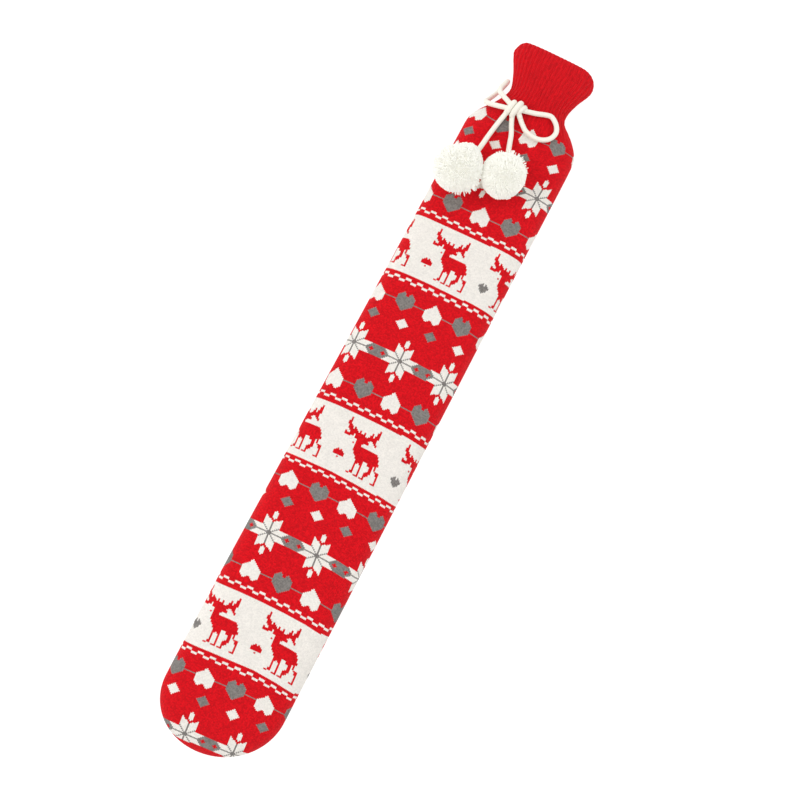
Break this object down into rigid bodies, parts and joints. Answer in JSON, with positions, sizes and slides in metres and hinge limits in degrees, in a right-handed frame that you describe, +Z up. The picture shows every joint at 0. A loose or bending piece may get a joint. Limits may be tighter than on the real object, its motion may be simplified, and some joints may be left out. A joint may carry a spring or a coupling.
{
  "type": "hot water bottle cover",
  "caption": "Long knitted sleeve with a closed round foot and a flared, ribbed open neck, gathered by a bow-tied cord that ends in two yarn pompoms. It holds a long hot water bottle.",
  "frame": {"origin": "centre of the cover's footprint, on the surface it lies on", "axes": "+Y along the sleeve from the closed foot to the open neck, +X across it, +Z up, out of the front that carries the bow"},
  "size_m": [0.1293, 0.7876, 0.0752],
  "materials": {
    "red_knit": "soft matte jacquard knit in red, off-white and grey yarn",
    "cream_cord": "matte knitted cord, cream",
    "cream_pompom_yarn": "cut and trimmed fluffy yarn, cream"
  },
  "bodies": {
    "root": {"cover": "red_knit", "tie_loop_right": "cream_cord", "tie_loop_left": "cream_cord", "tie_tail_right": "cream_cord", "tie_tail_left": "cream_cord", "tie_knot": "cream_cord", "pompom_right": "cream_pompom_yarn", "pompom_left": "cream_pompom_yarn"}
  },
  "joints": []
}
